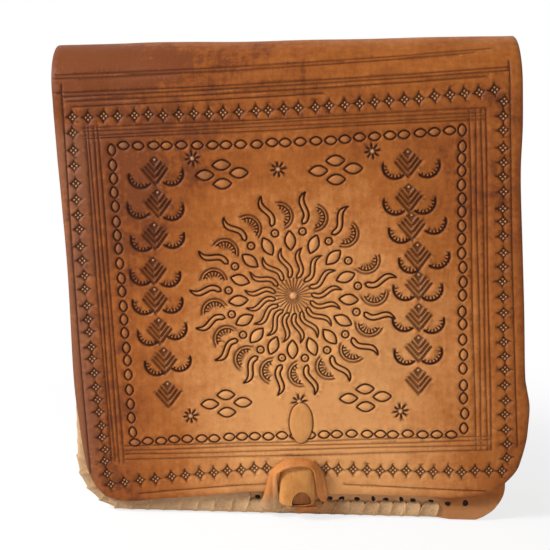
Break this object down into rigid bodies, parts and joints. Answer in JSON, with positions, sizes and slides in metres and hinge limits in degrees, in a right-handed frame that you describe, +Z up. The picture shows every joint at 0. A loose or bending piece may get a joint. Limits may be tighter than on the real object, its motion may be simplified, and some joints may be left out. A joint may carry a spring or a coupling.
{
  "type": "leather flap satchel",
  "caption": "Hand-tooled leather satchel with laced seams, a fold-over flap and a loop and toggle closure.",
  "frame": {"origin": "middle of the bag's bounding box on the surface that it stands on", "axes": "+Z up, -Y towards the flap's tooled front, +X to the right of someone who faces the flap"},
  "size_m": [0.2574, 0.0632, 0.2625],
  "materials": {
    "tooled_leather": "burnished vegetable-tanned hide, tooled",
    "body_leather": "burnished vegetable-tanned hide",
    "thong_leather": "raw-edged hide thong",
    "closure_leather": "smooth rolled hide"
  },
  "bodies": {
    "root": {"back_panel": "body_leather", "front_panel": "body_leather", "gusset": "body_leather", "front_lacing": "thong_leather", "back_lacing": "thong_leather"},
    "flap_bridge": {"flap_top": "tooled_leather"},
    "flap": {"flap_front": "tooled_leather", "toggle": "closure_leather"},
    "loop": {"closure_loop": "closure_leather"}
  },
  "joints": [
    {"name": "flap_back_fold", "type": "hinge", "parent": "root", "child": "flap_bridge", "pos_m": [-0.00175, 0.02218, 0.25493], "axis": [-1, 0, 0], "range_deg": [0, 165]},
    {"name": "flap_front_fold", "type": "hinge", "parent": "flap_bridge", "child": "flap", "pos_m": [-0.00175, -0.01438, 0.25493], "axis": [-1, 0, 0], "range_deg": [0, 165]},
    {"name": "loop_swing", "type": "hinge", "parent": "root", "child": "loop", "pos_m": [-0.00175, -0.02065, 0.005], "axis": [1, 0, 0], "range_deg": [0, 65]}
  ],
  "couplings": [
    {"joint": "flap_front_fold", "follows": "flap_back_fold", "ratio": 1}
  ]
}
